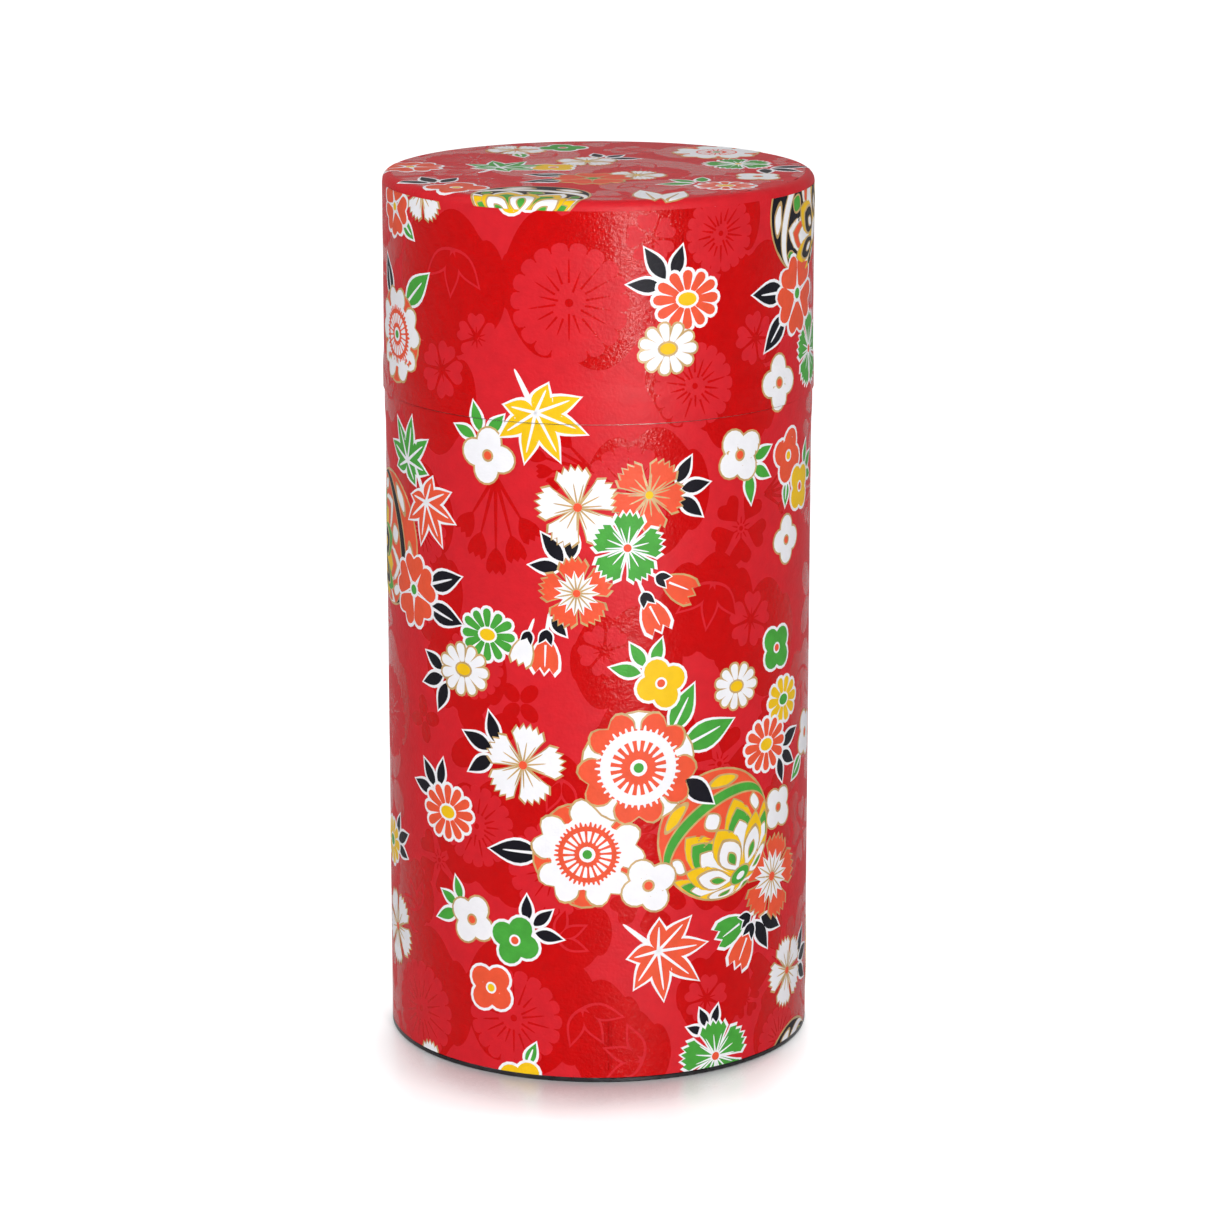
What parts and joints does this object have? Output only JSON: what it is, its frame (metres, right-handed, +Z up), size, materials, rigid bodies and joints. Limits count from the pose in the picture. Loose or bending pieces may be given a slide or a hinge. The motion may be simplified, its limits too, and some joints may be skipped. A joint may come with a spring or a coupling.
{
  "type": "tea caddy",
  "caption": "Tall round tinplate tea caddy covered in printed washi, with a slip cap over a bright neck and a knobbed inner lid.",
  "frame": {"origin": "middle of the foot, on the surface the caddy stands on", "axes": "+Z up along the caddy's axis; -Y is the front, and the papers are lapped at the back on +Y"},
  "size_m": [0.0774, 0.0776, 0.1575],
  "materials": {
    "tinplate": "satin",
    "black_lacquered_tin": "gloss",
    "printed_washi": "satin",
    "knob_plastic": "gloss",
    "rivet_aluminium": "satin"
  },
  "bodies": {
    "body": {"body_tube": "tinplate", "body_bottom": "black_lacquered_tin", "neck_ring": "tinplate", "body_paper": "printed_washi"},
    "cap": {"cap_tube": "tinplate", "cap_top": "tinplate", "cap_side_paper": "printed_washi", "cap_top_paper": "printed_washi"},
    "inner_lid": {"inner_lid_pan": "tinplate", "inner_lid_knob": "knob_plastic", "knob_washer": "rivet_aluminium", "knob_rivet": "rivet_aluminium"}
  },
  "joints": [
    {"name": "cap_lift", "type": "slide", "parent": "body", "child": "cap", "axis": [0, 0, 1], "range_m": [0, 0.12]},
    {"name": "inner_lid_lift", "type": "slide", "parent": "body", "child": "inner_lid", "axis": [0, 0, 1], "range_m": [0, 0.06]}
  ],
  "couplings": [
    {"joint": "inner_lid_lift", "follows": "cap_lift", "ratio": 0.5}
  ]
}
